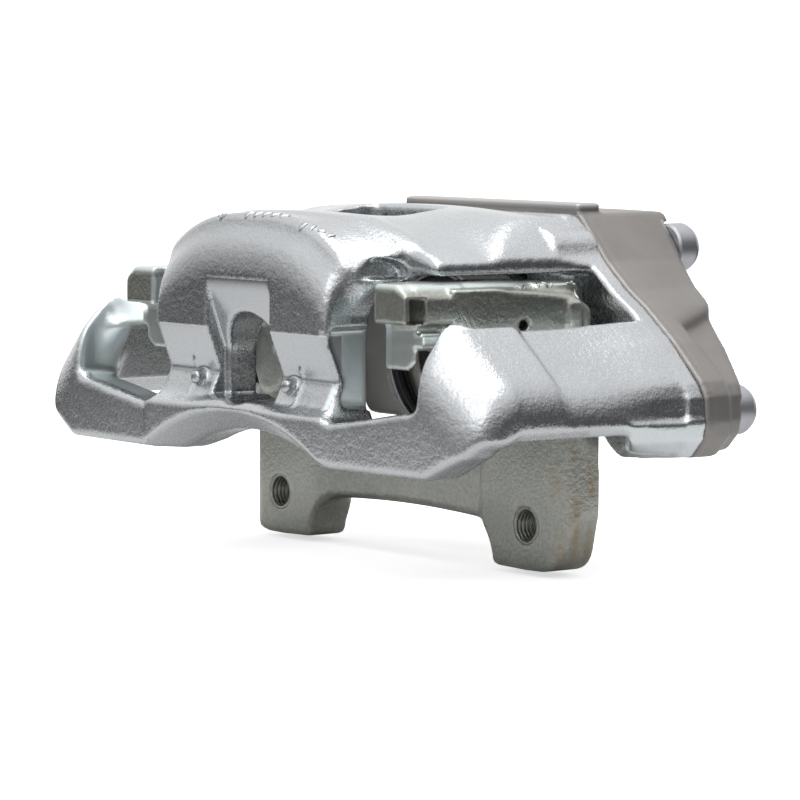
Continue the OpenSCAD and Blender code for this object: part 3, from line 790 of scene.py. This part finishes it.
# The floor is pale to the camera, and darker with distance to everything that it lights
floor_material, n = tree_of("pale_floor")
spot = n.add("ShaderNodeNewGeometry").outputs["Position"]
pale = n.blend(n.noise(spot, 3.0), rgb(0.90, 0.90, 0.90), rgb(0.92, 0.92, 0.92))
sheet = n.add("ShaderNodeBsdfDiffuse", {"Color": pale})
glow = n.add("ShaderNodeEmission", {"Color": rgb(1, 1, 1), "Strength": 0.62})
bright = n.add("ShaderNodeAddShader", {0: sheet.outputs[0], 1: glow.outputs[0]})
reach = n.add("ShaderNodeVectorMath", {0: spot}, operation="LENGTH").outputs["Value"]
dim = n.add("ShaderNodeBsdfDiffuse", {"Color": n.blend(n.remap(reach, 0.25, 0.7, 0, 1), rgb(0.75, 0.75, 0.75),
                                                       rgb(0.04, 0.04, 0.04))})
seen = n.add("ShaderNodeLightPath").outputs["Is Camera Ray"]
both = n.add("ShaderNodeMixShader", {0: seen, 1: dim.outputs[0], 2: bright.outputs[0]})
n.add("ShaderNodeOutputMaterial", {"Surface": both.outputs[0]})
floor.data.materials.append(floor_material)


def cast_iron():
    """Zinc-plated cast iron: grainy skin, smoother where machined."""
    material, n = tree_of("zinc_plated_cast_iron")
    place = n.add("ShaderNodeTexCoord").outputs["Object"]
    machined = n.add("ShaderNodeAttribute", attribute_name="machined").outputs["Fac"]
    smooth = n.add("ShaderNodeAttribute", attribute_name="smooth").outputs["Fac"]
    fine = n.noise(place, 900.0, 3.0, 0.6)
    coarse = n.noise(place, 330.0, 2.0, 0.5)
    broad = n.noise(place, 22.0, 3.0, 0.5)
    tone = n.blend(n.remap(broad, 0.3, 0.7, 0, 1), rgb(0.50, 0.515, 0.53), rgb(0.57, 0.585, 0.60))
    tone = n.blend(n.remap(fine, 0.35, 0.65, 0.2, 0), tone, rgb(0.30, 0.31, 0.32))
    # Painted reflection: the smooth faces take a pale bluish tone; their weaker grain bump below is the real smoother
    # skin
    tone = n.blend(smooth, tone, rgb(0.80, 0.87, 0.89))
    tone = n.blend(machined, tone, rgb(0.49, 0.505, 0.52))
    rough = n.math("ADD", n.math("MULTIPLY", fine, 0.12), n.math("MULTIPLY", smooth, 0.07))
    rough = n.math("ADD", rough, 0.21)
    skin = n.math("ADD", n.math("MULTIPLY", coarse, 0.6), n.math("MULTIPLY", fine, 0.4))
    keep = n.math("SUBTRACT", 1.0, n.math("MINIMUM", n.math("ADD", n.math("MULTIPLY", smooth, 0.75),
                                                                n.math("MULTIPLY", machined, 0.88)), 0.95))
    bump = n.add("ShaderNodeBump", {"Height": n.math("MULTIPLY", skin, keep), "Strength": 1.0,
                                    "Distance": 0.00037})
    shader = n.add("ShaderNodeBsdfPrincipled", {"Base Color": tone, "Metallic": 1.0, "Roughness": rough,
                                                "Normal": bump.outputs[0]})
    n.add("ShaderNodeOutputMaterial", {"Surface": shader.outputs[0]})
    return material


def grainy(name, low, high, metallic, rough, scale, depth, machined_and_highlight_tone=None, stain=None, dark=0.3):
    """A metal or rubber with two tones, fine grain and a bump; smoother and in the machined tone where the mesh's
    machined mask says, a mask that on some parts also paints a highlight.
    """
    material, n = tree_of(name)
    place = n.add("ShaderNodeTexCoord").outputs["Object"]
    fine, broad = n.noise(place, scale, 3.0, 0.6), n.noise(place, 30.0, 3.0, 0.5)
    tone = n.blend(n.remap(broad, 0.3, 0.7, 0, 1), rgb(*low), rgb(*high))
    tone = n.blend(n.remap(fine, 0.35, 0.65, dark, 0), tone, rgb(*(c * 0.5 for c in low)))
    height, spread = fine, n.math("ADD", n.math("MULTIPLY", fine, 0.12), rough)
    if machined_and_highlight_tone:
        machined = n.add("ShaderNodeAttribute", attribute_name="machined").outputs["Fac"]
        tone = n.blend(machined, tone, rgb(*machined_and_highlight_tone))
        height = n.math("MULTIPLY", height, n.math("SUBTRACT", 1.0, n.math("MULTIPLY", machined, 0.85)))
    if stain:
        patch = n.math("MULTIPLY", n.add("ShaderNodeAttribute", attribute_name="stain").outputs["Fac"],
                       n.remap(n.noise(place, 60.0, 4.0, 0.6), 0.4, 0.65, 0.0, 0.8))
        tone = n.blend(patch, tone, rgb(*stain))
    bump = n.add("ShaderNodeBump", {"Height": height, "Strength": 1.0, "Distance": depth})
    shader = n.add("ShaderNodeBsdfPrincipled", {"Base Color": tone, "Metallic": metallic, "Roughness": spread,
                                                "Normal": bump.outputs[0]})
    n.add("ShaderNodeOutputMaterial", {"Surface": shader.outputs[0]})
    return material


IRON = cast_iron()
frame_obj.data.materials.append(IRON)
marks_obj.data.materials.append(IRON)
# The pale third tone is for machined faces and also paints the highlight on the arms' upper faces
CARRIER_IRON = grainy("zinc_plated_carrier", (0.37, 0.38, 0.345), (0.47, 0.48, 0.44), 0.95, 0.26, 620.0, 0.00024,
                      (0.72, 0.79, 0.775), (0.36, 0.29, 0.20))
for part in (carrier_obj, arm_marks_obj, *threads):
    part.data.materials.append(CARRIER_IRON)
# The pale third tone is for machined faces and also paints the glint round the boot seat's edge
housing_obj.data.materials.append(grainy(
    "cast_aluminium", (0.255, 0.243, 0.234), (0.29, 0.277, 0.266), 0.75, 0.38, 1100.0, 0.00008,
    (0.46, 0.45, 0.44), dark=0.1))
STEEL = grainy("plated_steel", (0.40, 0.41, 0.43), (0.48, 0.49, 0.51), 0.9, 0.34, 1500.0, 0.00006, dark=0.05)
PISTON = grainy("piston_steel", (0.34, 0.32, 0.29), (0.42, 0.40, 0.37), 0.9, 0.30, 1500.0, 0.00004, dark=0.05)
RUBBER = grainy("black_rubber", (0.018, 0.018, 0.02), (0.03, 0.03, 0.032), 0.0, 0.55, 900.0, 0.00008, dark=0.2)
for parts, material in ((metal_parts, STEEL), ([piston_obj], PISTON), (rubber_parts, RUBBER)):
    for part in parts:
        part.data.materials.clear()
        part.data.materials.append(material)
